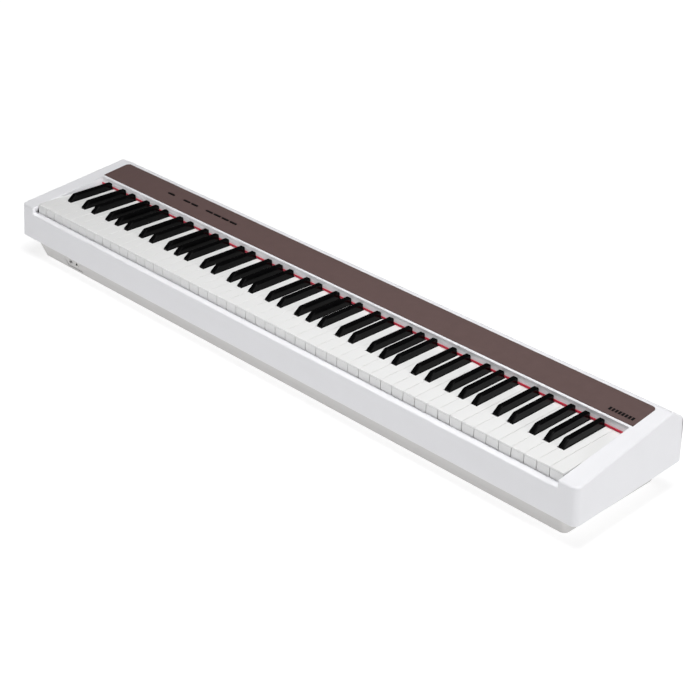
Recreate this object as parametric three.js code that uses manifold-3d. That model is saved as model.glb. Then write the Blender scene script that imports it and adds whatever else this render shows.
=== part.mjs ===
// Digital piano: an 88-key slab instrument, built as separate pieces.
// Units are millimetres. +X runs to the treble end, +Y to the back, +Z up.
// The origin is on the resting surface, under the middle of the case.

import * as THREE from 'three';
import { mergeVertices } from 'three/addons/utils/BufferGeometryUtils.js';
import Module from 'manifold-3d';

const wasm = await Module();
wasm.setup();

// ---------------------------------------------------------------- driving dimensions

const KEY_PITCH = 23.5; // one white key and its gap
const WHITE_KEYS = 52;
const KEYBED_HALF = (KEY_PITCH * WHITE_KEYS) / 2;
const KEY_GAP = 1.0; // between neighbouring white keys
const KEY_FRONT_Y = -120.5;
const KEY_TOP_Z = 113;
const WHITE_DEPTH = 12; // thickness of a white key behind its front skirt
const WHITE_SKIRT = 20;
const WHITE_TAIL_Y = KEY_FRONT_Y + 214;
const BLACK_FRONT_Y = KEY_FRONT_Y + 50;
const BLACK_BACK_Y = KEY_FRONT_Y + 146;
const BLACK_TAIL_Y = KEY_FRONT_Y + 198;
const BLACK_RISE = 12; // top of a black key above the white keys
const BLACK_BASE = 11;
const BLACK_TOP = 9.2;
const BLACK_DEPTH = 16;
const BLACK_NOTCH = 6.5; // half of the slot that two white keys leave for a black key

const FRONT_Y = KEY_FRONT_Y - 13;
const REAR_Y = -FRONT_Y;
const CASE_HALF = 651;
const RIM_Z = 45; // lower rim of the white case
const DECK_FRONT_Z = 107.5; // top of the case at its front edge
const DECK_TILT = THREE.MathUtils.degToRad(7.2);
const DECK_BACK_Y = 98; // where the deck breaks down towards the rear wall
const REAR_TOP = { y: 129, z: 119 }; // where that slope meets the rear wall
const END_DRAFT = 7; // how far each end wall leans in over DRAFT_HEIGHT
const DRAFT_HEIGHT = 100;
const END_TAPER = 5; // how much nearer the middle each end wall is at the back
const CORNER_R = 11;
const WALL = 3;
const DECK_THICK = 6;
const FIT = 0.4; // assembly gap between fixed neighbours

const SLIP_TOP_Z = 95; // ledge in front of the keys
const SLIP_BACK_Y = KEY_FRONT_Y - 0.7;
const WELL_HALF = KEYBED_HALF + 1.2;
const FASCIA_Y = KEY_FRONT_Y + 148;
const FASCIA_BOTTOM_Z = KEY_TOP_Z + 3.3;
const FASCIA_LEAN = 0.18; // millimetres back per millimetre up

const HULL_BOTTOM_Z = 5;
const FLANGE_TOP_Z = 48;
const PANEL_HALF = 614.8;
const PANEL_THICK = 2.5;
const PANEL_Y = { front: 34, back: 93 };

const BUTTON = { long: 17.6, wide: 4, rise: 0.8, y: 65.5 };
const BUTTON_PITCH = 21.5;
const JACK_HALF = 3.4; // half of the square mouth of a jack
const HEADPHONE_X = [-525, -507.5];
const HEADPHONE_Z = 26.5;
const SPEAKER_X = 500;
const ARC_STEPS = 6;

// ---------------------------------------------------------------- colours

const finish = (colour, roughness, metalness = 0) =>
  new THREE.MeshStandardMaterial({ color: colour, roughness, metalness });
const FINISH = {
  case: finish(0xf1f1f4, 0.45),
  tray: finish(0xdddbd9, 0.6),
  panel: finish(0x5d4c49, 0.55),
  felt: finish(0xb00c26, 0.95),
  white: finish(0xf6f6f4, 0.25),
  black: finish(0x101012, 0.3),
  steel: finish(0x9a9da1, 0.4, 0.9),
  board: finish(0x1f6a3c, 0.5),
  rubber: finish(0x1b1b1c, 0.9),
  dark: finish(0x1d1d1f, 0.45),
  hammer: finish(0x6b6e73, 0.5, 0.6),
};

// ---------------------------------------------------------------- geometry helpers

const deckZ = (y) => DECK_FRONT_Z + (y - FRONT_Y) * Math.tan(DECK_TILT);

function toSolid(geometry) {
  const bare = geometry.clone();
  bare.deleteAttribute('normal');
  bare.deleteAttribute('uv');
  const merged = mergeVertices(bare, 1e-4);
  return new wasm.Manifold(
    new wasm.Mesh({
      numProp: 3,
      vertProperties: new Float32Array(merged.attributes.position.array),
      triVerts: new Uint32Array(merged.index.array),
    }),
  );
}

function toGeometry(solid) {
  const mesh = solid.getMesh();
  const geometry = new THREE.BufferGeometry();
  geometry.setAttribute('position', new THREE.BufferAttribute(new Float32Array(mesh.vertProperties), 3));
  geometry.setIndex(new THREE.BufferAttribute(new Uint32Array(mesh.triVerts), 1));
  return geometry;
}

const join = (first, ...others) => others.reduce((sum, other) => sum.add(other), first);
const cut = (first, ...others) => others.reduce((rest, other) => rest.subtract(other), first);

function box(x0, x1, y0, y1, z0, z1) {
  const geometry = new THREE.BoxGeometry(x1 - x0, y1 - y0, z1 - z0);
  geometry.translate((x0 + x1) / 2, (y0 + y1) / 2, (z0 + z1) / 2);
  return toSolid(geometry);
}

// Corners are [u, v, radius]; a corner with a radius becomes a short arc.
function roundedOutline(corners, steps = ARC_STEPS) {
  const points = [];
  corners.forEach(([u, v, radius = 0], i) => {
    const corner = new THREE.Vector2(u, v);
    if (radius === 0) {
      points.push(corner);
      return;
    }
    const before = corners[(i + corners.length - 1) % corners.length];
    const after = corners[(i + 1) % corners.length];
    const toBefore = new THREE.Vector2(before[0], before[1]).sub(corner).normalize();
    const toAfter = new THREE.Vector2(after[0], after[1]).sub(corner).normalize();
    const half = Math.acos(THREE.MathUtils.clamp(toBefore.dot(toAfter), -1, 1)) / 2;
    const bisector = toBefore.clone().add(toAfter).normalize();
    const centre = corner.clone().addScaledVector(bisector, radius / Math.sin(half));
    const start = corner.clone().addScaledVector(toBefore, radius / Math.tan(half)).sub(centre);
    const sweep = (Math.PI - 2 * half) * Math.sign(toBefore.cross(toAfter)) * -1;
    for (let k = 0; k <= steps; k += 1) {
      points.push(start.clone().rotateAround(new THREE.Vector2(), (sweep * k) / steps).add(centre));
    }
  });
  return points;
}

// A plan with rounded corners that may be narrower at the back than at the front.
function trapezoid(frontHalf, backHalf, y0, y1, radius) {
  return roundedOutline([
    [-frontHalf, y0, radius],
    [frontHalf, y0, radius],
    [backHalf, y1, radius],
    [-backHalf, y1, radius],
  ]);
}

const rectangle = (halfX, y0, y1, radius) => trapezoid(halfX, halfX, y0, y1, radius);

// A plan outline pushed up from z0 to z1.
function prismZ(points, z0, z1) {
  const geometry = new THREE.ExtrudeGeometry(new THREE.Shape(points), { depth: z1 - z0, bevelEnabled: false });
  geometry.translate(0, 0, z0);
  return toSolid(geometry);
}

// A side outline of (y, z) points pushed from x0 to x1.
function prismX(points, x0, x1) {
  const geometry = new THREE.ExtrudeGeometry(new THREE.Shape(points), { depth: x1 - x0, bevelEnabled: false });
  geometry.applyMatrix4(new THREE.Matrix4().set(0, 0, 1, x0, 1, 0, 0, 0, 0, 1, 0, 0, 0, 0, 0, 1));
  return toSolid(geometry);
}

// A solid skinned between two plan outlines of the same number of points.
function loft(lower, lowerZ, upper, upperZ) {
  const count = lower.length;
  const position = [];
  lower.forEach((p) => position.push(p.x, p.y, lowerZ));
  upper.forEach((p) => position.push(p.x, p.y, upperZ));
  const index = [];
  for (let i = 0; i < count; i += 1) {
    const j = (i + 1) % count;
    index.push(i, j, count + j, i, count + j, count + i);
  }
  THREE.ShapeUtils.triangulateShape(lower, []).forEach(([a, b, c]) => {
    index.push(c, b, a, count + a, count + b, count + c);
  });
  const geometry = new THREE.BufferGeometry();
  geometry.setAttribute('position', new THREE.Float32BufferAttribute(position, 3));
  geometry.setIndex(index);
  return toSolid(geometry);
}

// Moves a solid drawn on the deck plane (u along X, v up the slope, w out of it) into place.
function onDeck(geometry) {
  geometry.rotateX(DECK_TILT);
  geometry.translate(0, FRONT_Y, DECK_FRONT_Z);
  return toSolid(geometry);
}

const upSlope = (y) => (y - FRONT_Y) / Math.cos(DECK_TILT);

const piano = new THREE.Group();

function place(name, solid, material) {
  const mesh = new THREE.Mesh(toGeometry(solid), material);
  mesh.name = name;
  piano.add(mesh);
  return mesh;
}

// ---------------------------------------------------------------- white case

// The case from the side: the deck rises to the back, then slopes down to the rear wall.
function caseSideOutline(inset, deckInset) {
  const front = FRONT_Y + inset;
  return roundedOutline([
    [front, RIM_Z - inset],
    [REAR_Y - inset, RIM_Z - inset],
    [REAR_TOP.y - inset, REAR_TOP.z - deckInset, 14 - inset],
    [DECK_BACK_Y, deckZ(DECK_BACK_Y) - deckInset, 12],
    [front, deckZ(front) - deckInset],
  ]);
}

function casePlan(inset) {
  const at = (half) =>
    trapezoid(half - inset, half - END_TAPER - inset, FRONT_Y + inset, REAR_Y - inset, CORNER_R - inset);
  return loft(at(CASE_HALF), RIM_Z, at(CASE_HALF - END_DRAFT), RIM_Z + DRAFT_HEIGHT);
}

// The panel's plate, its recess or its window: a rounded plate on the deck plane.
function deckPlate(halfX, front, back, radius, low, high) {
  const outline = roundedOutline([
    [-halfX, front],
    [halfX, front],
    [halfX, back, radius],
    [-halfX, back, radius],
  ]);
  const geometry = new THREE.ExtrudeGeometry(new THREE.Shape(outline), { depth: high - low, bevelEnabled: false });
  geometry.translate(0, 0, low);
  return onDeck(geometry);
}

const panelFront = upSlope(PANEL_Y.front);
const panelBack = upSlope(PANEL_Y.back);
const REAR_SOCKETS = { x0: 430, x1: 590, z0: 62, z1: 88 };

// The fascia leans back from its lower edge; this line carries on up to a height z.
function fasciaLine(z) {
  return [[FASCIA_Y, FASCIA_BOTTOM_Z], [FASCIA_Y + FASCIA_LEAN * (z - FASCIA_BOTTOM_Z), z]];
}

function topCase() {
  const reach = CASE_HALF + 10;
  const outer = casePlan(0).intersect(prismX(caseSideOutline(0, 0), -reach, reach));
  const hollow = casePlan(WALL).intersect(prismX(caseSideOutline(WALL, DECK_THICK), -reach, reach));
  const top = RIM_Z + 120;
  const wellOutline = [[SLIP_BACK_Y, RIM_Z - 10], [FASCIA_Y, RIM_Z - 10], ...fasciaLine(top), [SLIP_BACK_Y, top]];
  const well = prismX(roundedOutline(wellOutline), -WELL_HALF, WELL_HALF);
  const overSlip = box(-WELL_HALF, WELL_HALF, FRONT_Y - 5, FASCIA_Y, SLIP_TOP_Z, top);
  const skin = cut(outer, hollow, well, overSlip);

  const slipPlate = box(-WELL_HALF, WELL_HALF, FRONT_Y + 1, SLIP_BACK_Y, SLIP_TOP_Z - WALL, SLIP_TOP_Z);
  const slipBack = box(-WELL_HALF, WELL_HALF, SLIP_BACK_Y - WALL, SLIP_BACK_Y, 60, SLIP_TOP_Z);
  const cheekWall = (x) => box(x, x + WALL, FRONT_Y + 1, REAR_Y, 40, top).intersect(outer);
  const [fasciaLow, fasciaHigh] = fasciaLine(top);
  const backOf = ([y, z]) => [y + WALL, z];
  const fasciaOutline = [fasciaLow, backOf(fasciaLow), backOf(fasciaHigh), fasciaHigh];
  const fascia = prismX(roundedOutline(fasciaOutline), -WELL_HALF, WELL_HALF).intersect(outer);
  const walls = [slipPlate, slipBack, cheekWall(WELL_HALF), cheekWall(-WELL_HALF - WALL), fascia];

  const flangeRoom = casePlan(WALL).intersect(
    box(-reach, reach, FRONT_Y, REAR_Y, RIM_Z - 10, FLANGE_TOP_Z + FIT),
  );
  const recess = deckPlate(PANEL_HALF + FIT, panelFront - FIT, panelBack + FIT, 8, -PANEL_THICK - 0.3, 5);
  const window = deckPlate(PANEL_HALF - 10, panelFront + 7, panelBack - 7, 4, -10, 5);
  const sockets = box(
    REAR_SOCKETS.x0,
    REAR_SOCKETS.x1,
    REAR_Y - 16,
    REAR_Y + 5,
    REAR_SOCKETS.z0,
    REAR_SOCKETS.z1,
  );
  return cut(join(skin, ...walls), flangeRoom, recess, window, sockets);
}

// ---------------------------------------------------------------- grey tray

const HULL_TOP = { halfX: 622, y0: -125, y1: 124.5 };
const HULL_FLOOR = { halfX: 617, y0: -107.5, y1: 109.5 };
const HEADPHONE_POCKET = { x0: -541, x1: -497, z0: 12, z1: 33 };

function hull(inset, floorZ, topZ) {
  const at = (shape, radius) =>
    rectangle(shape.halfX - inset, shape.y0 + inset, shape.y1 - inset, radius - inset);
  return loft(at(HULL_FLOOR, 10), floorZ, at(HULL_TOP, 10), topZ);
}

function speakerSlots(centreX) {
  const slots = [];
  for (let k = -4; k <= 4; k += 1) {
    const x = centreX + 8 * k;
    const half = Math.sqrt(42 ** 2 - (8 * k) ** 2);
    slots.push(box(x - 1.6, x + 1.6, -half, half, 0, HULL_BOTTOM_Z + 2 * WALL));
  }
  return slots;
}

function bottomCase() {
  const shell = hull(0, HULL_BOTTOM_Z, RIM_Z + 1);
  const flange = casePlan(WALL + FIT).intersect(
    box(-CASE_HALF, CASE_HALF, FRONT_Y, REAR_Y, RIM_Z + 0.3, FLANGE_TOP_Z),
  );
  const inside = hull(WALL, HULL_BOTTOM_Z + WALL, FLANGE_TOP_Z + 1);
  const pocket = HEADPHONE_POCKET;
  const headphones = box(pocket.x0, pocket.x1, -130, -95, pocket.z0, pocket.z1);
  return cut(join(shell, flange), inside, headphones, ...speakerSlots(SPEAKER_X), ...speakerSlots(-SPEAKER_X));
}

// ---------------------------------------------------------------- fixed inner pieces

const CHASSIS_FLOOR_Z = 50;
const SHEET = 1.5; // steel of the key chassis
const RAIL = 2; // its upright walls
const HAMMER_PIVOT = { y: KEY_FRONT_Y + 100, z: 70 };

// A folded tray with a front lip, a hammer rail and the two walls that carry the key hinges.
function keyChassis() {
  const floor = CHASSIS_FLOOR_Z + SHEET;
  const lip = KEY_FRONT_Y + 4;
  const whiteWall = WHITE_TAIL_Y + 2.5;
  const blackWall = BLACK_TAIL_Y + 2;
  const rail = HAMMER_PIVOT.y;
  const side = [
    [lip, CHASSIS_FLOOR_Z],
    [whiteWall + RAIL, CHASSIS_FLOOR_Z],
    [whiteWall + RAIL, KEY_TOP_Z - 2],
    [whiteWall, KEY_TOP_Z - 2],
    [whiteWall, floor],
    [blackWall + RAIL, floor],
    [blackWall + RAIL, KEY_TOP_Z - BLACK_DEPTH],
    [blackWall, KEY_TOP_Z - BLACK_DEPTH],
    [blackWall, floor],
    [rail + RAIL, floor],
    [rail + RAIL, HAMMER_PIVOT.z - 7],
    [rail - RAIL, HAMMER_PIVOT.z - 7],
    [rail - RAIL, floor],
    [lip + RAIL, floor],
    [lip + RAIL, 76],
    [lip, 76],
  ].map(([y, z]) => new THREE.Vector2(y, z));
  return prismX(side, -KEYBED_HALF, KEYBED_HALF);
}

function mainBoard() {
  const board = box(220, 420, 30, 98, 14, 15.6);
  const processor = box(280, 310, 50, 80, 15, 18);
  const amplifier = box(360, 390, 50, 70, 15, 30);
  return join(board, processor, amplifier);
}

// Cone, basket and magnet of a round driver that fires down through the tray's slots.
function speaker(x) {
  const floor = HULL_BOTTOM_Z + WALL + FIT;
  const section = [
    [0, 10],
    [12, 7],
    [38, 1.5],
    [44, 0],
    [48, 0],
    [48, 3],
    [40, 6],
    [26, 20],
    [26, 33],
    [0, 33],
  ].map(([radius, height]) => new THREE.Vector2(radius, floor + height));
  const geometry = new THREE.LatheGeometry(section, 32);
  geometry.rotateX(Math.PI / 2);
  geometry.translate(x, 0, 0);
  return toSolid(geometry);
}

// A square passage right through a block, along Y.
const passage = (x, z, half, block) => box(x - half, x + half, block.y0 - 5, block.y1 + 5, z - half, z + half);

function headphoneBox() {
  const pocket = HEADPHONE_POCKET;
  const block = { y0: HULL_FLOOR.y0 - 2, y1: HULL_FLOOR.y0 + 15 };
  const body = box(pocket.x0 + FIT, pocket.x1 - FIT, block.y0, block.y1, pocket.z0 + FIT, pocket.z1 - FIT);
  return cut(body, ...HEADPHONE_X.map((x) => passage(x, HEADPHONE_Z, JACK_HALF, block)));
}

// Two blocks fill the rear window side by side: three jacks, then USB and power.
const REAR_BLOCK = { y0: REAR_Y - 19, y1: REAR_Y - 5, split: 504 };
const REAR_JACK_X = [446, 467, 488];
const USB = { x: 530, half: 6 };
const POWER = { x: 566, half: 4.5 };

function rearBlock(x0, x1) {
  return box(x0, x1, REAR_BLOCK.y0, REAR_BLOCK.y1, REAR_SOCKETS.z0 + FIT, REAR_SOCKETS.z1 - FIT);
}

const rearMiddleZ = (REAR_SOCKETS.z0 + REAR_SOCKETS.z1) / 2;

function rearJackBlock() {
  const body = rearBlock(REAR_SOCKETS.x0 + FIT, REAR_BLOCK.split - FIT / 2);
  return cut(body, ...REAR_JACK_X.map((x) => passage(x, rearMiddleZ, JACK_HALF, REAR_BLOCK)));
}

function rearUsbPowerBlock() {
  const body = rearBlock(REAR_BLOCK.split + FIT / 2, REAR_SOCKETS.x1 - FIT);
  const usb = passage(USB.x, rearMiddleZ, USB.half, REAR_BLOCK);
  return cut(body, usb, passage(POWER.x, rearMiddleZ, POWER.half, REAR_BLOCK));
}

// Tucked under the fascia, where the keys disappear.
function feltStrip() {
  return box(-KEYBED_HALF, KEYBED_HALF, FASCIA_Y - 1.4, FASCIA_Y + 2, KEY_TOP_Z + 0.5, FASCIA_BOTTOM_Z - 0.3);
}

function foot(x, y) {
  const geometry = new THREE.CylinderGeometry(11, 12, HULL_BOTTOM_Z - 0.3, 28);
  geometry.rotateX(Math.PI / 2);
  geometry.translate(x, y, (HULL_BOTTOM_Z - 0.3) / 2);
  return toSolid(geometry);
}

// ---------------------------------------------------------------- panel and buttons

const buttonColumn = (start, count) => Array.from({ length: count }, (_, k) => start + BUTTON_PITCH * k);
const BUTTON_X = [...buttonColumn(-455, 1), ...buttonColumn(-411.3, 2), ...buttonColumn(-349.2, 4)];
const BUTTON_NAMES = [
  'power_button',
  'volume_down_button',
  'volume_up_button',
  'voice_button',
  'metronome_button',
  'record_button',
  'play_button',
];

function controlPanel() {
  const plate = deckPlate(PANEL_HALF, panelFront, panelBack, 8, -PANEL_THICK, 0);
  const holes = BUTTON_X.map((x) => buttonBlock(x, BUTTON.long + 0.8, BUTTON.wide + 0.8, -5, 5));
  return cut(plate, ...holes);
}

function buttonBlock(x, long, wide, low, high) {
  const geometry = new THREE.BoxGeometry(long, wide, high - low);
  geometry.translate(x, upSlope(BUTTON.y), (low + high) / 2);
  return onDeck(geometry);
}

// A cap that shows through the panel, with a flange that keeps it from falling out.
function button(x) {
  const under = -PANEL_THICK - 0.4;
  const cap = buttonBlock(x, BUTTON.long, BUTTON.wide, under - 2, BUTTON.rise);
  const flange = buttonBlock(x, BUTTON.long + 2, BUTTON.wide + 3, under - 2, under);
  return join(cap, flange);
}

// ---------------------------------------------------------------- keys

// Keys of one octave, counted in white keys from C; black keys sit off the joint they cover.
const WHITE_NAMES = ['c', 'd', 'e', 'f', 'g', 'a', 'b'];
const BLACK_AFTER = {
  c: { name: 'c_sharp', shift: -2.5 },
  d: { name: 'd_sharp', shift: 2.5 },
  f: { name: 'f_sharp', shift: -3.45 },
  g: { name: 'g_sharp', shift: 0 },
  a: { name: 'a_sharp', shift: 3.45 },
};

const octaveStart = (octave) => -KEYBED_HALF + KEY_PITCH * (2 + 7 * (octave - 1));
const blackX = (octave, letter) =>
  octaveStart(octave) + KEY_PITCH * (WHITE_NAMES.indexOf(letter) + 1) + BLACK_AFTER[letter].shift;

// Left and right edges of a white key behind the black keys' fronts.
function whiteTail(octave, letter, isFirst, isLast) {
  const left = octaveStart(octave) + KEY_PITCH * WHITE_NAMES.indexOf(letter) + KEY_GAP / 2;
  const right = left + KEY_PITCH - KEY_GAP;
  const before = WHITE_NAMES[WHITE_NAMES.indexOf(letter) - 1];
  const hasBefore = before in BLACK_AFTER && !isFirst;
  const hasAfter = letter in BLACK_AFTER && !isLast;
  return {
    left,
    right,
    tailLeft: hasBefore ? blackX(octave, before) + BLACK_NOTCH : left,
    tailRight: hasAfter ? blackX(octave, letter) - BLACK_NOTCH : right,
  };
}

function whiteKey(octave, letter, isFirst = false, isLast = false) {
  const { left, right, tailLeft, tailRight } = whiteTail(octave, letter, isFirst, isLast);
  const notch = BLACK_FRONT_Y - 1.5;
  const plan = [
    [left, KEY_FRONT_Y],
    [right, KEY_FRONT_Y],
    [right, notch],
    [tailRight, notch],
    [tailRight, WHITE_TAIL_Y],
    [tailLeft, WHITE_TAIL_Y],
    [tailLeft, notch],
    [left, notch],
  ].filter(([x, y], i, all) => i === 0 || x !== all[i - 1][0] || y !== all[i - 1][1]);
  const outline = plan.map(([x, y]) => new THREE.Vector2(x, y));
  const body = prismZ(outline, KEY_TOP_Z - WHITE_DEPTH, KEY_TOP_Z);
  const skirtTop = KEY_TOP_Z - WHITE_DEPTH + 1;
  const skirt = box(left, right, KEY_FRONT_Y, KEY_FRONT_Y + 4, KEY_TOP_Z - WHITE_SKIRT, skirtTop);
  return join(body, skirt);
}

function blackKey(octave, letter) {
  const x = blackX(octave, letter);
  const top = KEY_TOP_Z + BLACK_RISE;
  const seat = KEY_TOP_Z - 1;
  const side = roundedOutline([
    [BLACK_FRONT_Y, KEY_TOP_Z - BLACK_DEPTH],
    [BLACK_TAIL_Y, KEY_TOP_Z - BLACK_DEPTH],
    [BLACK_TAIL_Y, seat],
    [BLACK_BACK_Y, seat],
    [BLACK_BACK_Y - 1.5, top - 0.5],
    [BLACK_FRONT_Y + 12, top, 6],
    [BLACK_FRONT_Y, seat + 3],
  ]);
  const base = prismX(side, x - BLACK_BASE / 2, x + BLACK_BASE / 2);
  const slope = (BLACK_BASE - BLACK_TOP) / 2;
  const front = [
    [-BLACK_BASE / 2 - 1, KEY_TOP_Z - BLACK_DEPTH - 1],
    [BLACK_BASE / 2 + 1, KEY_TOP_Z - BLACK_DEPTH - 1],
    [BLACK_BASE / 2 + 1, seat],
    [BLACK_BASE / 2, seat],
    [BLACK_BASE / 2 - slope, top + 1],
    [-BLACK_BASE / 2 + slope, top + 1],
    [-BLACK_BASE / 2, seat],
    [-BLACK_BASE / 2 - 1, seat],
  ].map(([u, z]) => new THREE.Vector2(x + u, z));
  const reach = BLACK_TAIL_Y - BLACK_FRONT_Y + 10;
  const taper = new THREE.ExtrudeGeometry(new THREE.Shape(front), { depth: reach, bevelEnabled: false });
  taper.rotateX(Math.PI / 2);
  taper.translate(0, BLACK_TAIL_Y + 5, 0);
  return base.intersect(toSolid(taper));
}

const BOSS = { y0: HAMMER_PIVOT.y - 36, y1: HAMMER_PIVOT.y - 30, bottom: HAMMER_PIVOT.z + 5.1, half: 2.5 };

// The foot under a key that pushes its hammer.
const boss = (x, keyBottom) => box(x - BOSS.half, x + BOSS.half, BOSS.y0, BOSS.y1, BOSS.bottom, keyBottom + 1);

function hammer(x) {
  const arm = { low: HAMMER_PIVOT.z - 4, high: HAMMER_PIVOT.z + 4 };
  const side = [
    [-36, arm.low + 3],
    [-26, arm.low],
    [50, arm.low],
    [50, 55],
    [84, 55],
    [84, arm.high],
    [-36, arm.high],
  ].map(([reach, z]) => new THREE.Vector2(HAMMER_PIVOT.y + reach, z));
  return prismX(side, x - 4, x + 4);
}

function keyWithHammer(name, key, x, keyBottom, material) {
  place(`key_${name}`, join(key, boss(x, keyBottom)), material);
  place(`hammer_${name}`, hammer(x), FINISH.hammer);
}

// Every key of the middle octave moves by itself, with its own hammer under it.
function middleOctave(octave) {
  WHITE_NAMES.forEach((letter) => {
    const { tailLeft, tailRight } = whiteTail(octave, letter, false, false);
    const whiteBottom = KEY_TOP_Z - WHITE_DEPTH;
    const middle = (tailLeft + tailRight) / 2;
    keyWithHammer(`${letter}${octave}`, whiteKey(octave, letter), middle, whiteBottom, FINISH.white);
    if (letter in BLACK_AFTER) {
      const x = blackX(octave, letter);
      const blackBottom = KEY_TOP_Z - BLACK_DEPTH;
      const name = `${BLACK_AFTER[letter].name}${octave}`;
      keyWithHammer(name, blackKey(octave, letter), x, blackBottom, FINISH.black);
    }
  });
}

// Other octaves: the white keys share one hinge rail, and the black keys another under it.
function keyComb(octave, letters, extra = []) {
  const whites = letters.map((letter, i) => whiteKey(octave, letter, octave === 0 && i === 0));
  extra.forEach(([nextOctave, letter]) => whites.push(whiteKey(nextOctave, letter, false, true)));
  const count = whites.length;
  const left = octaveStart(octave) + KEY_PITCH * WHITE_NAMES.indexOf(letters[0]) + KEY_GAP / 2;
  const right = left + KEY_PITCH * count - KEY_GAP;
  const whiteRail = box(left, right, WHITE_TAIL_Y - 8, WHITE_TAIL_Y, KEY_TOP_Z - WHITE_DEPTH, KEY_TOP_Z - 2);
  place(`white_keys_octave_${octave}`, join(whiteRail, ...whites), FINISH.white);

  const blackLetters = letters.filter((letter) => letter in BLACK_AFTER);
  const blacks = blackLetters.map((letter) => blackKey(octave, letter));
  const first = blackX(octave, blackLetters[0]) - BLACK_BASE / 2;
  const last = blackX(octave, blackLetters[blackLetters.length - 1]) + BLACK_BASE / 2;
  const blackRail = box(first, last, BLACK_TAIL_Y - 10, BLACK_TAIL_Y, KEY_TOP_Z - 24, KEY_TOP_Z - 15.4);
  place(`black_keys_octave_${octave}`, join(blackRail, ...blacks), FINISH.black);
}

// ---------------------------------------------------------------- assembly

place('top_case', topCase(), FINISH.case);
place('bottom_case', bottomCase(), FINISH.tray);
place('control_panel', controlPanel(), FINISH.panel);
place('felt_strip', feltStrip(), FINISH.felt);
place('key_chassis', keyChassis(), FINISH.steel);
place('main_board', mainBoard(), FINISH.board);
place('speaker_left', speaker(-SPEAKER_X), FINISH.dark);
place('speaker_right', speaker(SPEAKER_X), FINISH.dark);
place('headphone_socket_box', headphoneBox(), FINISH.dark);
place('rear_jack_block', rearJackBlock(), FINISH.dark);
place('rear_usb_power_block', rearUsbPowerBlock(), FINISH.dark);
place('foot_front_left', foot(-540, -75), FINISH.rubber);
place('foot_front_right', foot(540, -75), FINISH.rubber);
place('foot_rear_left', foot(-540, 80), FINISH.rubber);
place('foot_rear_right', foot(540, 80), FINISH.rubber);
BUTTON_NAMES.forEach((name, i) => place(name, button(BUTTON_X[i]), FINISH.dark));

keyComb(0, ['a', 'b']);
[1, 2, 3].forEach((octave) => keyComb(octave, WHITE_NAMES));
middleOctave(4);
[5, 6].forEach((octave) => keyComb(octave, WHITE_NAMES));
keyComb(7, WHITE_NAMES, [[8, 'c']]);

export default piano;
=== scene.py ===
import math

import bmesh
import bpy
from mathutils import Matrix, Vector


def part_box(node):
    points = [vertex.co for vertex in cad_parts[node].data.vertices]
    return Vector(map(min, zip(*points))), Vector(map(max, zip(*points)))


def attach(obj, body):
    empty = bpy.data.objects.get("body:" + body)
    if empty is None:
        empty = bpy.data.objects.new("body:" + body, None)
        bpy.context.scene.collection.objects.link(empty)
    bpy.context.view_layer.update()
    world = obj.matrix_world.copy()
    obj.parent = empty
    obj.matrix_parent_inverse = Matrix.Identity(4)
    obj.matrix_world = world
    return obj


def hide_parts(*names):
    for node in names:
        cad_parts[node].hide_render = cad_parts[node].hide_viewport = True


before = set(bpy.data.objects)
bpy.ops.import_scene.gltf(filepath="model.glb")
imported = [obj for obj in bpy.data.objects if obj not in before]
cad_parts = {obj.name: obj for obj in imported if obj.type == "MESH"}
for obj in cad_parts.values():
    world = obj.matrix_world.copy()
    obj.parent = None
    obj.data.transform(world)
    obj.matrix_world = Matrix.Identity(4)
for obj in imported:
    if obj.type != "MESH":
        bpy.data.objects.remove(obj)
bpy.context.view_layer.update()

# ------------------------------------------------------------------ dimensions, in millimetres
MM = 0.001

# keyboard
KEY_PITCH = 23.5
WHITE_COUNT = 52
KEYBED_HALF = KEY_PITCH * WHITE_COUNT / 2
KEY_GAP = 0.32
END_KEY_EXTRA = 0.7
KEY_FRONT_INSET = 0.5
KEY_FRONT_Y = -120.5
KEY_TOP_Z = 113.0
WHITE_DEPTH = 12.0
WHITE_SKIRT = 20.0
WHITE_TAIL_Y = KEY_FRONT_Y + 214
BLACK_FRONT_Y = KEY_FRONT_Y + 50
BLACK_BACK_Y = KEY_FRONT_Y + 146
BLACK_TAIL_Y = KEY_FRONT_Y + 198
BLACK_RISE = 12.0
BLACK_BASE = 11.0
BLACK_TOP = 9.2
BLACK_DEPTH = 16.0
BLACK_NOTCH = 6.5

# white case
FRONT_Y = KEY_FRONT_Y - 13
REAR_Y = -FRONT_Y
SIDE_X = 633.0
DECK_FRONT_Z = 107.5
TILT = math.radians(7.2)
SLIP_TOP_Z = 95.0
SLIP_BACK_Y = KEY_FRONT_Y - 0.7
WELL_HALF = KEYBED_HALF + 1.2
FASCIA_Y = KEY_FRONT_Y + 148
FASCIA_BOTTOM_Z = KEY_TOP_Z + 3.3
FASCIA_LEAN = 0.18

# grey tray and its socket pocket
RIM_Z = 45.0
HULL_BOTTOM_Z = 5.0
TRAY_TOP_FRONT_Y = -125.0
TRAY_FLOOR_FRONT_Y = -107.5
POCKET_X = (-541.0, -497.0)
POCKET_Z = (12.0, 33.0)
POCKET_INSET = 1.0
HEADPHONE_X = (-525.0, -507.5)
HEADPHONE_Z = 26.5
HEADPHONE_FRONT_Y = -109.5
SOCKET_HALF = 3.4

# control panel
PANEL_HALF = 614.8
PANEL_FRONT_Y = 34.0
PANEL_BACK_Y = 93.0
BUTTON_Y = 65.5
BUTTON_LONG = 17.6
BUTTON_WIDE = 4.0
BUTTON_SEAT = -4.9
BUTTON_PROUD = 0.8
BUTTON_X = {"power_button": -455.0, "volume_down_button": -411.3, "volume_up_button": -389.8,
            "voice_button": -349.2, "metronome_button": -327.7, "record_button": -306.2,
            "play_button": -284.7}
MARK_X = 561.5
MARK_Y = (44.5, 52.0)
MARK_COUNT = 8
MARK_PITCH = 5.9
MARK_WIDE = 3.8

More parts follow.
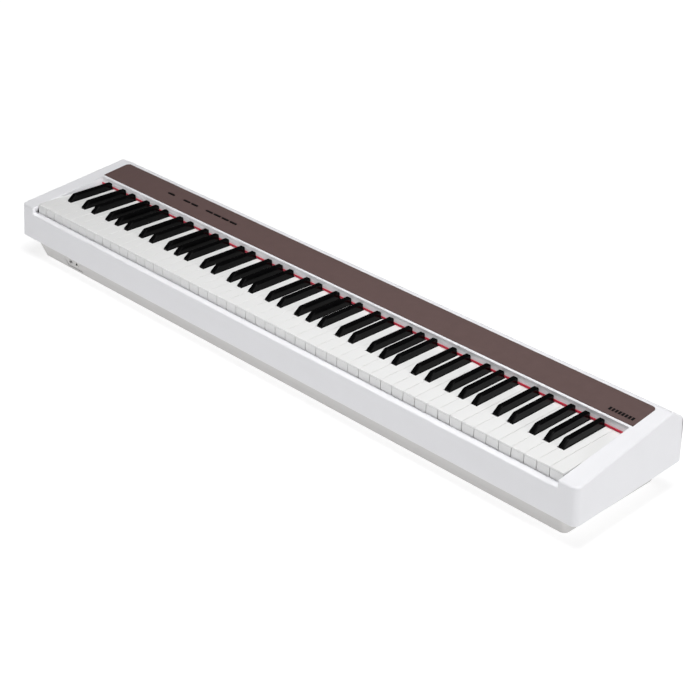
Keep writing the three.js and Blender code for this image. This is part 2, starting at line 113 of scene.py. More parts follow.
# rear sockets and feet
SOCKET_FACE_Y = REAR_Y - 5
REAR_SOCKET_Z = 75.0
REAR_JACK_X = (446.0, 467.0, 488.0)
USB_X = 530.0
POWER_X = 566.0
FOOT_AT = {"front_left": (-540, -75), "front_right": (540, -75),
           "rear_left": (-540, 80), "rear_right": (540, 80)}


def near(a, b, reach=0.3):
    return abs(a - b) < reach


def deck_z(y):
    return DECK_FRONT_Z + (y - FRONT_Y) * math.tan(TILT)


def up_slope(y):
    """The distance up the deck's slope at a y."""
    return (y - FRONT_Y) / math.cos(TILT)


def on_deck(x, along, out):
    """A point on the deck: x, the distance up the slope and the height out of it."""
    y = FRONT_Y + along * math.cos(TILT) - out * math.sin(TILT)
    return (x, y, DECK_FRONT_Z + along * math.sin(TILT) + out * math.cos(TILT))


def fascia_y(z):
    return FASCIA_Y + FASCIA_LEAN * (z - FASCIA_BOTTOM_Z)


def tray_front(z):
    """The y of the tray's sloping front at a height."""
    share = (z - HULL_BOTTOM_Z) / (RIM_Z - HULL_BOTTOM_Z)
    return TRAY_FLOOR_FRONT_Y + (TRAY_TOP_FRONT_Y - TRAY_FLOOR_FRONT_Y) * share


# ------------------------------------------------------------------ camera
CAMERA_AT = (1.74435, -1.75944, 1.3607)
CAMERA_AZIMUTH = math.radians(43.451)
CAMERA_ELEVATION = math.radians(28.466)
CAMERA_ROLL = math.radians(-2.518)


def make_camera():
    """The photograph's camera, looking down on the piano from its treble end."""
    level_share = math.cos(CAMERA_ELEVATION)
    forward = Vector((-math.sin(CAMERA_AZIMUTH) * level_share, math.cos(CAMERA_AZIMUTH) * level_share,
                      -math.sin(CAMERA_ELEVATION)))
    level = forward.cross(Vector((0, 0, 1))).normalized()
    down = forward.cross(level)
    right = level * math.cos(CAMERA_ROLL) + down * math.sin(CAMERA_ROLL)
    up = right.cross(forward)
    data = bpy.data.cameras.new("camera")
    data.sensor_width = 36.0
    data.lens = 85.873
    data.clip_start = 0.05
    data.clip_end = 60.0
    camera = bpy.data.objects.new("camera", data)
    bpy.context.scene.collection.objects.link(camera)
    turn = Matrix((right, up, -forward)).transposed().to_4x4()
    camera.matrix_world = Matrix.Translation(CAMERA_AT) @ turn
    bpy.context.scene.camera = camera


make_camera()


# ------------------------------------------------------------------ materials
BLOTCH_SHARE = 0.65
TONE_LOW, TONE_HIGH = 0.3, 0.7


def add_node(tree, kind, inputs, **settings):
    """Adds a shader node. An input that is another node's output is linked, and any other is set."""
    made = tree.nodes.new("ShaderNode" + kind)
    for name, value in settings.items():
        setattr(made, name, value)
    for socket, value in inputs.items():
        if isinstance(value, bpy.types.NodeSocket):
            tree.links.new(value, made.inputs[socket])
        else:
            made.inputs[socket].default_value = value
    return made


def weave_over(tree, place, base, pitch, darkness):
    """Darkens base where crossed threads meet, and returns the new colour and the threads' height."""
    threads = []
    for axis in "XY":
        wave = add_node(tree, "TexWave", {"Vector": place, "Scale": math.pi / 10 / pitch},
                        bands_direction=axis)
        threads.append(wave.outputs["Fac"])
    height = add_node(tree, "Math", {0: threads[0], 1: threads[1]}, operation="MULTIPLY").outputs[0]
    shade = (1 - darkness, 1 - darkness, 1 - darkness, 1)
    mixed = add_node(tree, "Mix", {}, data_type="RGBA", blend_type="MULTIPLY")
    mixed.inputs["B"].default_value = shade
    tree.links.new(height, mixed.inputs["Factor"])
    tree.links.new(base, mixed.inputs["A"])
    return mixed.outputs["Result"], height


def material(name, colour, rough, metallic=0.0, spread=0.03, blotch=25.0, grain=1400.0, bump=0.06,
             depth=0.0002, rough_spread=0.05, coat=0.0, specular=0.5, sheen=0.0, stretch=(1, 1, 1),
             weave=None):
    """A finish whose colour and roughness vary by their spreads, in wide blotches and a fine grain.

    The grain also gives the relief, unless weave is set: a pitch in metres and a darkness of threads.
    """
    finish = bpy.data.materials.new(name)
    finish.use_nodes = True
    tree = finish.node_tree
    shader = tree.nodes["Principled BSDF"]
    for socket, value in (("Metallic", metallic), ("Coat Weight", coat),
                          ("Specular IOR Level", specular), ("Sheen Weight", sheen)):
        shader.inputs[socket].default_value = value
    place = add_node(tree, "TexCoord", {}).outputs["Object"]
    place = add_node(tree, "Mapping", {"Vector": place, "Scale": stretch}).outputs["Vector"]
    wide = add_node(tree, "TexNoise", {"Vector": place, "Scale": blotch, "Detail": 4.0}).outputs["Fac"]
    fine = add_node(tree, "TexNoise", {"Vector": place, "Scale": grain, "Detail": 2.0}).outputs["Fac"]
    grain_part = add_node(tree, "Math", {0: fine, 1: 1 - BLOTCH_SHARE}, operation="MULTIPLY").outputs[0]
    tone = add_node(tree, "Math", {0: wide, 1: BLOTCH_SHARE, 2: grain_part},
                    operation="MULTIPLY_ADD").outputs[0]
    ramp = add_node(tree, "ValToRGB", {"Fac": tone})
    for end, position, change in ((0, TONE_LOW, -spread), (1, TONE_HIGH, spread)):
        stop = ramp.color_ramp.elements[end]
        stop.position = position
        stop.color = (*[min(1, c * (1 + change)) for c in colour], 1)
    base, height = ramp.outputs["Color"], fine
    if weave:
        base, height = weave_over(tree, place, base, *weave)
    roughness = add_node(tree, "MapRange", {"Value": tone, "From Min": TONE_LOW, "From Max": TONE_HIGH,
                                            "To Min": rough - rough_spread,
                                            "To Max": rough + rough_spread})
    relief = add_node(tree, "Bump", {"Height": height, "Strength": bump, "Distance": depth})
    tree.links.new(base, shader.inputs["Base Color"])
    tree.links.new(roughness.outputs["Result"], shader.inputs["Roughness"])
    tree.links.new(relief.outputs["Normal"], shader.inputs["Normal"])
    return finish


CASE = material("case_plastic", (0.86, 0.86, 0.885), 0.42, spread=0.012, grain=1800, bump=0.10,
                rough_spread=0.04)
TRAY = material("tray_plastic", (0.60, 0.59, 0.583), 0.6, spread=0.02, grain=1300, bump=0.22,
                rough_spread=0.06)
PANEL = material("panel_plate", (0.124, 0.081, 0.077), 0.68, spread=0.06, blotch=60, grain=1500, bump=0.2,
                 specular=0.15, weave=(0.0016, 0.16))
WHITE = material("white_key_plastic", (0.87, 0.87, 0.865), 0.22, spread=0.012, blotch=18, grain=2200,
                 bump=0.03, rough_spread=0.05, coat=0.2)
BLACK = material("black_key_plastic", (0.0022, 0.0022, 0.0024), 0.15, spread=0.25, blotch=90, grain=2600,
                 bump=0.03, rough_spread=0.04, specular=0.11)
FELT = material("red_felt", (0.64, 0.003, 0.038), 0.95, spread=0.22, blotch=300, grain=2600, bump=0.8,
                depth=0.0006, rough_spread=0.04, sheen=0.4, stretch=(0.35, 1, 1))
RUBBER = material("foot_rubber", (0.02, 0.02, 0.021), 0.85, spread=0.2, blotch=200, grain=2500, bump=0.3,
                  rough_spread=0.08)
BUTTON = material("button_rubber", (0.003, 0.0028, 0.0028), 0.5, specular=0.15, spread=0.2, blotch=150,
                  grain=2600, bump=0.2, rough_spread=0.08)
SOCKET = material("socket_plastic", (0.018, 0.018, 0.02), 0.5, spread=0.15, blotch=150, grain=2200,
                  bump=0.15, rough_spread=0.08)
NICKEL = material("nickel_ring", (0.55, 0.54, 0.52), 0.28, metallic=1.0, spread=0.05, blotch=300,
                  grain=2500, bump=0.08, rough_spread=0.06)
STEEL = material("chassis_steel", (0.42, 0.43, 0.44), 0.38, metallic=0.9, spread=0.08, blotch=40,
                 grain=1200, bump=0.12, rough_spread=0.1, stretch=(0.05, 1, 1))
HAMMER = material("hammer_steel", (0.28, 0.29, 0.31), 0.45, metallic=0.85, spread=0.1, blotch=120,
                  grain=1800, bump=0.12, rough_spread=0.1, stretch=(1, 0.1, 1))
BOARD = material("circuit_board", (0.012, 0.11, 0.045), 0.42, spread=0.35, blotch=260, grain=900,
                 bump=0.2, rough_spread=0.1)
CONE = material("speaker_cone", (0.016, 0.016, 0.018), 0.7, spread=0.25, blotch=200, grain=1800, bump=0.3,
                rough_spread=0.1)
INK = material("panel_ink", (0.003, 0.003, 0.003), 0.6, specular=0.1, spread=0.2, blotch=300, grain=2400,
               bump=0.05, rough_spread=0.05)


# ------------------------------------------------------------------ mesh helpers
def to_object(name, mesh, finish):
    mesh.materials.clear()
    mesh.materials.append(finish)
    piece = bpy.data.objects.new(name, mesh)
    bpy.context.scene.collection.objects.link(piece)
    return piece


def is_upright(edge):
    return abs((edge.verts[0].co - edge.verts[1].co).normalized().z) > 0.9


def rounded(name, bm, finish, radius_of=None, segments=3, sharp=32):
    """Makes an object of bm with its edges rounded, and bakes its modifiers.

    radius_of gives an edge's radius in millimetres from its middle, its angle in degrees and the edge.
    An edge without a radius is shaded sharp if its angle is over sharp.
    """
    bmesh.ops.recalc_face_normals(bm, faces=bm.faces)
    weights = bm.edges.layers.float.new("bevel_weight_edge")
    radii = {}
    for edge in bm.edges:
        edge.smooth = True
        if len(edge.link_faces) != 2:
            continue
        angle = math.degrees(edge.calc_face_angle_signed(0.0))
        middle = (edge.verts[0].co + edge.verts[1].co) / 2 / MM
        radius = radius_of(middle, angle, edge) if radius_of and abs(angle) > 20 else 0.0
        if radius > 0:
            radii[edge] = radius
        elif abs(angle) > sharp:
            edge.smooth = False
    largest = max(radii.values(), default=0.0)
    for edge, radius in radii.items():
        edge[weights] = radius / largest
    for face in bm.faces:
        face.smooth = True
    mesh = bpy.data.meshes.new(name)
    bm.to_mesh(mesh)
    bm.free()
    piece = to_object(name, mesh, finish)
    if largest:
        bevel = piece.modifiers.new("rounding", "BEVEL")
        bevel.limit_method = "WEIGHT"
        bevel.width = largest * MM
        bevel.segments = segments
        bevel.use_clamp_overlap = False
        bevel.miter_outer = "MITER_SHARP"
    normals = piece.modifiers.new("normals", "WEIGHTED_NORMAL")
    normals.keep_sharp = True
    normals.weight = 90
    graph = bpy.context.evaluated_depsgraph_get()
    baked = bpy.data.meshes.new_from_object(piece.evaluated_get(graph))
    piece.modifiers.clear()
    piece.data = baked
    baked.name = name
    return piece


def shape_only(piece):
    """Takes the mesh from a piece and removes the piece, so that several objects can share the mesh."""
    mesh = piece.data
    bpy.data.objects.remove(piece)
    return mesh


def from_cad(node, flat=0.6):
    """A new mesh from a CAD node, with faces that differ by less than flat degrees merged."""
    bm = bmesh.new()
    bm.from_mesh(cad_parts[node].data)
    bmesh.ops.remove_doubles(bm, verts=bm.verts, dist=3e-6)
    if flat:
        bmesh.ops.dissolve_limit(bm, angle_limit=math.radians(flat), verts=bm.verts, edges=bm.edges)
    return bm


def extrude(bm, faces, direction):
    """Draws faces out along a direction in millimetres."""
    made = bmesh.ops.extrude_face_region(bm, geom=faces)
    moved = [v for v in made["geom"] if isinstance(v, bmesh.types.BMVert)]
    bmesh.ops.translate(bm, verts=moved, vec=Vector(direction) * MM)


def prism(bm, points, direction):
    """Adds a solid between an outline and the same outline moved by direction."""
    face = bm.faces.new([bm.verts.new(Vector(p) * MM) for p in points])
    extrude(bm, [face], direction)


def cut_across(bm, point, normal):
    """Cuts the faces of bm along a plane through a point in millimetres."""
    parts = bm.verts[:] + bm.edges[:] + bm.faces[:]
    bmesh.ops.bisect_plane(bm, geom=parts, plane_co=Vector(point) * MM, plane_no=normal)


def skin(bm, rings, close=True):
    """Joins rings of equally many points, in millimetres, and caps the two ends if close is true."""
    made = [[bm.verts.new(Vector(p) * MM) for p in ring] for ring in rings]
    count = len(made[0])
    for low, high in zip(made, made[1:]):
        for i in range(count):
            j = (i + 1) % count
            bm.faces.new((low[i], low[j], high[j], high[i]))
    if close:
        bm.faces.new(list(reversed(made[0])))
        bm.faces.new(made[-1])


def lathe(bm, profile, centre, axis, steps, close=True):
    """Turns a profile of (radius, height) pairs about an axis, along Y or Z, through centre."""
    centre, axis, side = Vector(centre), Vector(axis), Vector((1, 0, 0))
    other = axis.cross(side)
    rings = []
    for radius, height in profile:
        middle = centre + axis * height
        angles = [2 * math.pi * k / steps for k in range(steps)]
        rings.append([middle + (side * math.cos(a) + other * math.sin(a)) * radius for a in angles])
    skin(bm, rings, close)


def fixed(piece, body, slot, *nodes):
    """Hangs a piece on the body that it rides and hides the CAD nodes that it stands for. slot is not used.
    """
    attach(piece, body)
    if nodes:
        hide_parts(*nodes)


# ------------------------------------------------------------------ white case
CASE_ROUND = {"shell": 3.4, "well_corner": 3.0, "slip_front": 2.4, "slip_end": 1.8, "well_side": 1.6,
              "fascia_top": 1.0, "tray_seam": 0.9, "fascia_foot": 0.5, "panel_recess": 0.35,
              "slip_back": 0.3}
SIDE_Z, CHEEK_Z, DECK_Z = 60.0, 100.0, 120.0


def case_radius(middle, angle, edge):
    """An edge's radius on the case: its upper ends lie over SIDE_Z, its cheeks' tops over CHEEK_Z and
    its deck over DECK_Z."""
    x, y, z = abs(middle.x), middle.y, middle.z
    side, front, rear = x > SIDE_X, y < FRONT_Y + 0.2, y > SOCKET_FACE_Y
    if angle < 0:
        return CASE_ROUND["well_corner"] if near(x, WELL_HALF) and near(z, SLIP_TOP_Z) else 0.0
    if z < RIM_Z + 0.5:
        return CASE_ROUND["tray_seam"] if side or front or rear else 0.0
    if front and x < WELL_HALF - 0.2 and near(z, SLIP_TOP_Z):
        return CASE_ROUND["slip_front"]
    if front and near(x, WELL_HALF) and is_upright(edge):
        return CASE_ROUND["slip_end"]
    if (side and z > SIDE_Z) or ((front or rear) and z > CHEEK_Z):
        return CASE_ROUND["shell"]
    if near(x, WELL_HALF) and z > CHEEK_Z and y < FASCIA_Y + 3:
        return CASE_ROUND["well_side"]
    if near(y, fascia_y(z)) and z > DECK_Z:
        return CASE_ROUND["fascia_top"]
    if near(y, FASCIA_Y) and near(z, FASCIA_BOTTOM_Z):
        return CASE_ROUND["fascia_foot"]
    if near(y, SLIP_BACK_Y) and near(z, SLIP_TOP_Z):
        return CASE_ROUND["slip_back"]
    if z > DECK_Z and PANEL_FRONT_Y - 1 < y < PANEL_BACK_Y + 1 and near(z, deck_z(y)):
        return CASE_ROUND["panel_recess"]
    return 0.0


case_shell = rounded("case_shell", from_cad("top_case"), CASE, case_radius, segments=4)
fixed(case_shell, "case", "case_white", "top_case")


# ------------------------------------------------------------------ grey tray
def tray_radius(middle, angle, edge):
    """An edge's radius on the tray: round along its outer foot, crisp around the socket pocket."""
    x, y, z = middle
    if angle < 0:
        return 0.0
    if z < HULL_BOTTOM_Z + 0.3 and (abs(x) > 600 or abs(y) > 100):
        return 2.0
    if y < TRAY_FLOOR_FRONT_Y + 1.5 and x < POCKET_X[1] + 7 and POCKET_Z[0] - 1 < z < POCKET_Z[1] + 1:
        return 0.5
    return 0.0


fixed(rounded("tray_shell", from_cad("bottom_case"), TRAY, tray_radius), "case", "tray_grey", "bottom_case")


def slip_lip():
    """A thin lip on the back edge of the slip ledge, just clear of the key fronts."""
    height, clear, bevel, proud = 0.8, 0.15, 0.15, 0.02
    front, back, top = SLIP_BACK_Y - height, KEY_FRONT_Y - clear, SLIP_TOP_Z
    half = WELL_HALF - 0.05
    profile = [(front, top - height), (back, top - height), (back, top - 0.1), (back - bevel, top + proud),
               (front, top + proud)]
    bm = bmesh.new()
    prism(bm, [(-half, y, z) for y, z in profile], (2 * half, 0, 0))
    return rounded("slip_lip", bm, CASE)


fixed(slip_lip(), "case", "case_white")


def pocket_face():
    """The socket plate, set into the tray's sloping front, with an opening behind each ring."""
    thick, clear, half = 1.2, 0.2, SOCKET_HALF
    left, right = POCKET_X[0] + clear, POCKET_X[1] - clear
    bottom, top = POCKET_Z[0] + clear, POCKET_Z[1] - clear
    first, second = HEADPHONE_X
    strips = [(left, first - half, bottom, top), (first + half, second - half, bottom, top),
              (second + half, right, bottom, top)]
    for x in HEADPHONE_X:
        strips += [(x - half, x + half, bottom, HEADPHONE_Z - half),
                   (x - half, x + half, HEADPHONE_Z + half, top)]
    bm = bmesh.new()
    for x, end, low, high in strips:
        low_y, high_y = tray_front(low) + POCKET_INSET, tray_front(high) + POCKET_INSET
        outline = [(x, low_y, low), (x, high_y, high), (x, high_y + thick, high), (x, low_y + thick, low)]
        prism(bm, outline, (end - x, 0, 0))
    return rounded("pocket_face", bm, TRAY)


fixed(pocket_face(), "case", "tray_grey")


# ------------------------------------------------------------------ control panel, buttons and felt
def panel_radius(middle, angle, edge):
    """An edge's radius on the control plate, which is rounded along the rim of its top only."""
    x, y, z = middle
    on_top = near(z, deck_z(y), 0.2)
    on_rim = abs(x) > PANEL_HALF - 9 or y < PANEL_FRONT_Y + 0.3 or y > PANEL_BACK_Y - 0.3
    return 0.3 if on_top and on_rim and angle > 0 else 0.0


control_plate = rounded("control_plate", from_cad("control_panel", flat=0.0), PANEL, panel_radius)
fixed(control_plate, "case", "panel_brown", "control_panel")


def button_cap(name, x):
    """A bar with round ends, standing square to the deck."""
    radius, steps = BUTTON_WIDE / 2, 8
    half = BUTTON_LONG / 2 - radius
    outline = []
    for sign in (1, -1):
        for k in range(steps + 1):
            a = -math.pi / 2 + math.pi * k / steps
            outline.append((sign * (half + radius * math.cos(a)), sign * radius * math.sin(a)))
    rings = []
    for shrink, out in ((0, BUTTON_SEAT), (0, BUTTON_PROUD - 0.35), (0.12, BUTTON_PROUD - 0.1),
                        (0.4, BUTTON_PROUD)):
        narrow = 1 - shrink / radius
        rings.append([on_deck(x + u - math.copysign(shrink, u), up_slope(BUTTON_Y) + v * narrow, out)
                      for u, v in outline])
    bm = bmesh.new()
    skin(bm, rings)
    return rounded(name + "_cap", bm, BUTTON)


for button_name, button_x in BUTTON_X.items():
    fixed(button_cap(button_name, button_x), button_name, "button_black", button_name)


def felt_piece():
    """A band of felt between the keys and the fascia, with a fuzzy front edge and a lip before the fascia."""
    front_y, back_y = (corner.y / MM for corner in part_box("felt_strip"))
    bottom, top, lip_y = KEY_TOP_Z + 0.45, FASCIA_BOTTOM_Z - 0.05, FASCIA_Y - 0.1
    steps = 260
    rings = []
    for k in range(steps + 1):
        x = -KEYBED_HALF + 2 * KEYBED_HALF * k / steps
        fuzz = 0.10 * math.sin(k * 2.1) + 0.07 * math.sin(k * 5.3 + 1)
        front = front_y + fuzz * 0.6
        section = [(front, bottom + 0.3), (front + 0.3, bottom), (back_y, bottom), (back_y, top),
                   (lip_y, top), (lip_y, top + 0.75), (front + 0.3, top + 0.75), (front, top + 0.4)]
        rings.append([(x, y, z) for y, z in section])
    bm = bmesh.new()
    skin(bm, rings)
    return rounded("felt_band", bm, FELT, sharp=60)


fixed(felt_piece(), "case", "felt_red", "felt_strip")


def panel_mark():
    """A plain row of bars where the panel carries a printed mark."""
    low, thick = 0.30, 0.12
    front, back = (up_slope(y) for y in MARK_Y)
    rise = Vector(on_deck(0, 0, thick)) - Vector(on_deck(0, 0, 0))
    bm = bmesh.new()
    for k in range(MARK_COUNT):
        left = MARK_X + MARK_PITCH * k
        right = left + MARK_WIDE
        prism(bm, [on_deck(left, front, low), on_deck(right, front, low), on_deck(right, back, low),
                   on_deck(left, back, low)], rise)
    return rounded("panel_mark_bars", bm, INK)


fixed(panel_mark(), "case", "button_black")


# ------------------------------------------------------------------ keys
WHITE_LETTERS = "cdefgab"
BLACK_SHIFT = {"c": -2.5, "d": 2.5, "f": -3.45, "g": 0.0, "a": 3.45}
OWN_OCTAVE = 4
LAST_COMB = 7


def octave_start(octave):
    """The x of the left edge of an octave's C."""
    return -KEYBED_HALF + KEY_PITCH * (2 + 7 * (octave - 1))


def white_plan(letter, first, last):
    """A white key's outline from above, from x = 0, notched for the black keys beside it."""
    left = -END_KEY_EXTRA if first else 0.0
    right = KEY_PITCH - KEY_GAP + (END_KEY_EXTRA if last else 0.0)
    before = WHITE_LETTERS[WHITE_LETTERS.index(letter) - 1]
    tail_left, tail_right = left, right
    if before in BLACK_SHIFT and not first:
        tail_left = BLACK_SHIFT[before] + BLACK_NOTCH - KEY_GAP / 2
    if letter in BLACK_SHIFT and not last:
        tail_right = KEY_PITCH + BLACK_SHIFT[letter] - BLACK_NOTCH - KEY_GAP / 2
    notch_y = BLACK_FRONT_Y - 1.5
    plan = [(left, KEY_FRONT_Y), (right, KEY_FRONT_Y)]
    if tail_right < right:
        plan += [(right, notch_y), (tail_right, notch_y)]
    plan += [(tail_right, WHITE_TAIL_Y), (tail_left, WHITE_TAIL_Y)]
    if tail_left > left:
        plan += [(tail_left, notch_y), (left, notch_y)]
    return plan


def add_skirt(bm):
    """Draws a white key's front down past its underside."""
    skirt_y = KEY_FRONT_Y + 4
    cut_across(bm, (0, skirt_y, 0), (0, 1, 0))
    under = []
    for face in bm.faces:
        middle = face.calc_center_median() / MM
        if middle.y < skirt_y and middle.z < KEY_TOP_Z - WHITE_DEPTH + 0.1:
            under.append(face)
    extrude(bm, under, (0, 0, WHITE_DEPTH - WHITE_SKIRT))
    bmesh.ops.delete(bm, geom=under, context="FACES")
    bmesh.ops.dissolve_limit(bm, angle_limit=math.radians(1), verts=bm.verts, edges=bm.edges)


def narrow_front(bm, middle_x):
    """Draws the sides of a key's front in a little below its top plate."""
    plate_low = KEY_TOP_Z - 3.0
    cut_across(bm, (0, KEY_FRONT_Y + 12, 0), (0, 1, 0))
    cut_across(bm, (0, 0, plate_low + 0.4), (0, 0, 1))
    cut_across(bm, (0, 0, plate_low), (0, 0, 1))
    for vert in bm.verts:
        if vert.co.y < (KEY_FRONT_Y + 5) * MM and vert.co.z < (plate_low + 0.1) * MM:
            vert.co.x += math.copysign(KEY_FRONT_INSET * MM, middle_x * MM - vert.co.x)


def white_radius(middle, angle, edge):
    """An edge's radius on a white key: round at its front lip and corners, crisp along its sides."""
    at_front = middle.y < KEY_FRONT_Y + 0.2
    if angle < 0 or middle.z < KEY_TOP_Z - WHITE_SKIRT + 0.5:
        return 0.0
    if middle.z > KEY_TOP_Z - 0.2:
        return 1.0 if at_front else 0.35
    return 0.5 if at_front and is_upright(edge) else 0.0


def white_mesh(name, letter, first, last):
    """One white key, with its left edge at x = 0."""
    plan = white_plan(letter, first, last)
    bm = bmesh.new()
    prism(bm, [(x, y, KEY_TOP_Z) for x, y in plan], (0, 0, -WHITE_DEPTH))
    add_skirt(bm)
    narrow_front(bm, (plan[0][0] + plan[1][0]) / 2)
    return shape_only(rounded(name, bm, WHITE, white_radius))


def black_section(y, top, inset):
    """A cross-section of a black key at y, with round shoulders and sides that lean in towards the top."""
    seat, low = KEY_TOP_Z - 1, KEY_TOP_Z - BLACK_DEPTH
    lean = (BLACK_BASE - BLACK_TOP) / 2 / (KEY_TOP_Z + BLACK_RISE - seat)

    def half(z):
        return BLACK_BASE / 2 - max(0.0, z - seat) * lean - inset

    shoulder, steps = 1.5, 4
    right = [(half(low), low), (half(seat), seat)]
    for k in range(steps + 1):
        a = math.pi / 2 * k / steps
        reach = half(top - shoulder) - shoulder * (1 - math.cos(a)) * 0.92
        right.append((reach, top - shoulder + shoulder * math.sin(a)))
    right.append((half(top) * 0.4, top + 0.08))
    left = [(-x, z) for x, z in reversed(right)]
    return [(x, y, z) for x, z in right + left]


def black_mesh():
    """A black key: a low nose, a slope up to the level top, a rounded back and a tail under the fascia."""
    top, nose = KEY_TOP_Z + BLACK_RISE, KEY_TOP_Z + 2.2
    rings = [black_section(BLACK_FRONT_Y, nose - 0.5, 0.6), black_section(BLACK_FRONT_Y + 0.25, nose, 0.25),
             black_section(BLACK_FRONT_Y + 0.7, nose + 0.75, 0)]
    for run, rise in ((3.5, 0.30), (7.0, 0.61), (9.8, 0.86), (11.0, 0.945), (12.2, 0.985), (13.6, 1.0)):
        rings.append(black_section(BLACK_FRONT_Y + run, nose + (top - nose) * rise, 0))
    for y in (BLACK_FRONT_Y + 30, BLACK_FRONT_Y + 60, BLACK_BACK_Y - 2):
        rings.append(black_section(y, top, 0))
    rings.append(black_section(BLACK_BACK_Y - 0.9, top - 0.25, 0.1))
    rings.append(black_section(BLACK_BACK_Y, top - 0.9, 0.5))
    bm = bmesh.new()
    skin(bm, rings)
    half, tail_y = BLACK_BASE / 2 - 0.5, BLACK_BACK_Y - 4
    low, high = KEY_TOP_Z - BLACK_DEPTH, KEY_TOP_Z - 1.5
    corners = [(-half, low), (half, low), (half, high), (-half, high)]
    prism(bm, [(x, tail_y, z) for x, z in corners], (0, BLACK_TAIL_Y - tail_y, 0))
    return shape_only(rounded("black_key", bm, BLACK, sharp=50))


white_meshes = {}
black_shape = black_mesh()


def add_key(name, mesh, x, body, slot, stands_for_body):
    """Places a key. Each body's CAD node has the body's name, and one key on the body stands for it."""
    piece = bpy.data.objects.new(name, mesh)
    bpy.context.scene.collection.objects.link(piece)
    piece.location = (x * MM, 0, 0)
    fixed(piece, body, slot, *([body] if stands_for_body else []))


def add_white(octave, letter, first=False, last=False):
    shape = (letter, first, last)
    if shape not in white_meshes:
        ending = "_first" if first else "_last" if last else ""
        white_meshes[shape] = white_mesh("white_key_" + letter + ending, *shape)
    own = octave == OWN_OCTAVE
    body = "key_%s4" % letter if own else "white_keys_octave_%d" % min(octave, LAST_COMB)
    x = octave_start(octave) + KEY_PITCH * WHITE_LETTERS.index(letter) + KEY_GAP / 2
    add_key("white_%s%d" % (letter, octave), white_meshes[shape], x, body, "white_key", own or letter == "b")


def add_black(octave, letter):
    own = octave == OWN_OCTAVE
    body = "key_%s_sharp4" % letter if own else "black_keys_octave_%d" % octave
    x = octave_start(octave) + KEY_PITCH * (WHITE_LETTERS.index(letter) + 1) + BLACK_SHIFT[letter]
    add_key("black_%s_sharp%d" % (letter, octave), black_shape, x, body, "black_key", own or letter == "a")


for octave in range(0, 8):
    for letter in WHITE_LETTERS if octave else "ab":
        add_white(octave, letter, first=octave == 0 and letter == "a")
        if letter in BLACK_SHIFT:
            add_black(octave, letter)
add_white(8, "c", last=True)


# ------------------------------------------------------------------ sockets and feet
def headphone_radius(middle, angle, edge):
    return 0.4 if angle > 60 and middle.y < HEADPHONE_FRONT_Y + 0.2 else 0.0


def rear_radius(middle, angle, edge):
    return 0.4 if angle > 60 and middle.y > SOCKET_FACE_Y - 0.3 else 0.0


headphone_block = rounded("headphone_block", from_cad("headphone_socket_box"), TRAY, headphone_radius)
fixed(headphone_block, "case", "tray_grey", "headphone_socket_box")
for node_name in ("rear_jack_block", "rear_usb_power_block"):
    block = rounded(node_name + "_body", from_cad(node_name), SOCKET, rear_radius)
    fixed(block, "case", "socket_black", node_name)


def ring(name, centre, toward, inner, outer, proud, finish):
    """A collar in the mouth of a socket, which faces along Y in the direction of toward."""
    profile = [(inner, 3.0), (inner, 0.3 - proud), (inner + 0.3, -proud), (outer - 0.3, -proud),
               (outer, 0.3 - proud), (outer, 0.6)]
    bm = bmesh.new()
    lathe(bm, profile, centre, (0, -toward, 0), 36, close=False)
    fixed(rounded(name, bm, finish, sharp=50), "case", "socket_black")


headphone_face_y = tray_front(HEADPHONE_Z) + POCKET_INSET
for k, (x, inner, finish) in enumerate(zip(HEADPHONE_X, (3.1, 2.5), (TRAY, NICKEL))):
    ring("headphone_ring_%d" % (k + 1), (x, headphone_face_y, HEADPHONE_Z), -1, inner, 4.9, 0.9, finish)
for k, x in enumerate(REAR_JACK_X):
    ring("rear_ring_%d" % (k + 1), (x, SOCKET_FACE_Y, REAR_SOCKET_Z), 1, 3.2, 5.4, 0.6, NICKEL)
ring("power_ring", (POWER_X, SOCKET_FACE_Y, REAR_SOCKET_Z), 1, 3.6, 6.8, 0.5, SOCKET)


SQUARE = ((-1, -1), (1, -1), (1, 1), (-1, 1))


def usb_shell():
    """A square steel shell in the USB opening."""
    rings = []
    for half, depth in ((6.3, -0.2), (6.3, 0.5), (6.0, 0.8), (5.5, 0.8), (5.3, 0.5), (5.3, -9.0)):
        rings.append([(USB_X + u * half, SOCKET_FACE_Y + depth, REAR_SOCKET_Z + v * half)
                      for u, v in SQUARE])
    bm = bmesh.new()
    skin(bm, rings, close=False)
    return rounded("usb_shell", bm, NICKEL)


def usb_tongue():
    """The plastic tongue inside the USB shell."""
    half_wide, half_high, depth, long = 3.2, 1.8, 10, 9
    outline = [(USB_X + u * half_wide, SOCKET_FACE_Y - depth, REAR_SOCKET_Z + v * half_high)
               for u, v in SQUARE]
    bm = bmesh.new()
    prism(bm, outline, (0, long, 0))
    return rounded("usb_tongue", bm, WHITE, lambda middle, angle, edge: 0.5 if angle > 60 else 0.0)


fixed(usb_shell(), "case", "socket_black")
fixed(usb_tongue(), "case", "socket_black")


def foot_pad(name, x, y):
    """A round rubber foot with a dished underside and a hollow for its screw."""
    profile = [(0.01, 4.7), (10.6, 4.7), (11.2, 4.3), (12.0, 1.0), (11.7, 0.4), (11.0, 0.0), (7.4, 0.0),
               (7.0, 0.5), (4.2, 0.5), (3.8, 2.0), (0.01, 2.0)]
    bm = bmesh.new()
    lathe(bm, profile, (x, y, 0), (0, 0, 1), 40)
    return rounded("foot_%s_pad" % name, bm, RUBBER)


for foot_name, foot_place in FOOT_AT.items():
    fixed(foot_pad(foot_name, *foot_place), "case", "foot_rubber", "foot_" + foot_name)


# ------------------------------------------------------------------ inner pieces keep their CAD shape
INNER_FINISH = {"key_chassis": STEEL, "main_board": BOARD, "speaker_left": CONE, "speaker_right": CONE}
for node_name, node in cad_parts.items():
    finish = HAMMER if node_name.startswith("hammer_") else INNER_FINISH.get(node_name)
    if finish:
        node.data.materials.clear()
        node.data.materials.append(finish)


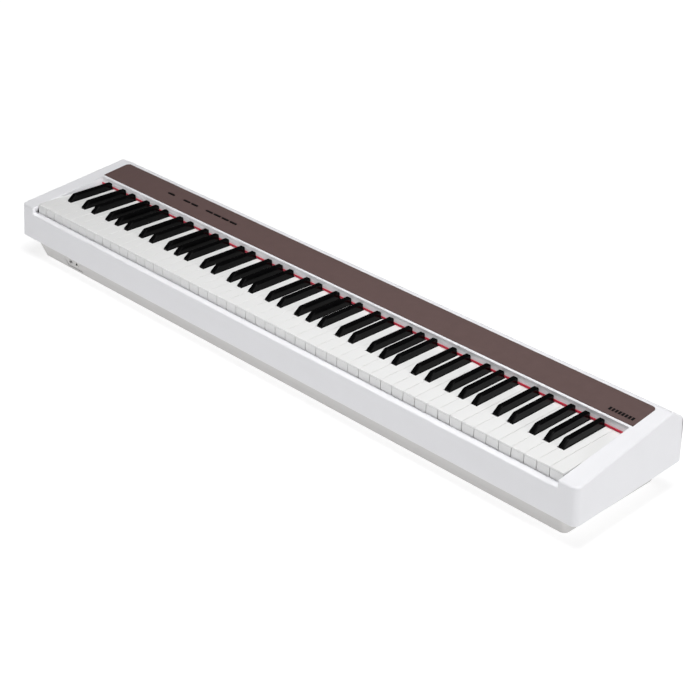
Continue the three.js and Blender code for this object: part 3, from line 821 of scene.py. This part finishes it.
# ------------------------------------------------------------------ stage
FLOOR_HALF = 9.0
GLOW_START, GLOW_END = 0.6, 1.9
# Painted glow of the floor: near the piano it fills in the piano's shadow and lights its underside, and far
# away it makes the floor read white.
FLOOR_GLOW, FAR_GLOW = 0.78, 0.95


def floor():
    """Grey paper with a painted glow, faint under the piano and brighter far away from it: the glow fills in
    the piano's cast shadow and lights the piano from below.
    """
    bm = bmesh.new()
    bmesh.ops.create_grid(bm, x_segments=8, y_segments=8, size=FLOOR_HALF)
    mesh = bpy.data.meshes.new("floor")
    bm.to_mesh(mesh)
    bm.free()
    paper = material("floor_paper_painted_glow", (0.40, 0.40, 0.403), 0.9, spread=0.004, blotch=2, grain=200,
                     bump=0.01, specular=0.1)
    tree = paper.node_tree
    place = add_node(tree, "TexCoord", {}).outputs["Object"]
    reach = add_node(tree, "VectorMath", {}, operation="LENGTH")
    tree.links.new(place, reach.inputs[0])
    glow = add_node(tree, "MapRange", {"Value": reach.outputs["Value"], "From Min": GLOW_START,
                                       "From Max": GLOW_END, "To Min": FLOOR_GLOW, "To Max": FAR_GLOW},
                    interpolation_type="SMOOTHSTEP")
    shader = tree.nodes["Principled BSDF"]
    shader.inputs["Emission Color"].default_value = (1, 1, 1, 1)
    tree.links.new(glow.outputs["Result"], shader.inputs["Emission Strength"])
    return to_object("floor", mesh, paper)


floor()


def area(name, place, target, size, power):
    """A rectangular studio light, aimed from place at target."""
    data = bpy.data.lights.new(name, "AREA")
    data.shape = "RECTANGLE"
    data.size, data.size_y = size
    data.energy = power
    light = bpy.data.objects.new(name, data)
    bpy.context.scene.collection.objects.link(light)
    light.location = place
    light.rotation_mode = "QUATERNION"
    light.rotation_quaternion = (Vector(target) - Vector(place)).to_track_quat("-Z", "Y")


world = bpy.data.worlds.new("studio")
world.use_nodes = True
world.node_tree.nodes["Background"].inputs["Color"].default_value = (1, 1, 1, 1)
world.node_tree.nodes["Background"].inputs["Strength"].default_value = 0.02
bpy.context.scene.world = world
area("top_light", (0.3, -0.1, 2.4), (0.0, 0.0, 0.1), (2.2, 1.0), 44.0)
area("fore_light", (0.3, -0.7, 2.4), (0.0, 0.0, 0.1), (2.2, 1.2), 12.0)
area("side_light", (7.0, 0.4, 2.2), (0.3, 0.0, 0.1), (3.0, 2.2), 132.0)
area("spark_light", (0.75, -0.75, 2.2), (0.2, 0.0, 0.1), (0.22, 0.22), 6.0)
bpy.context.scene.view_settings.view_transform = "Standard"
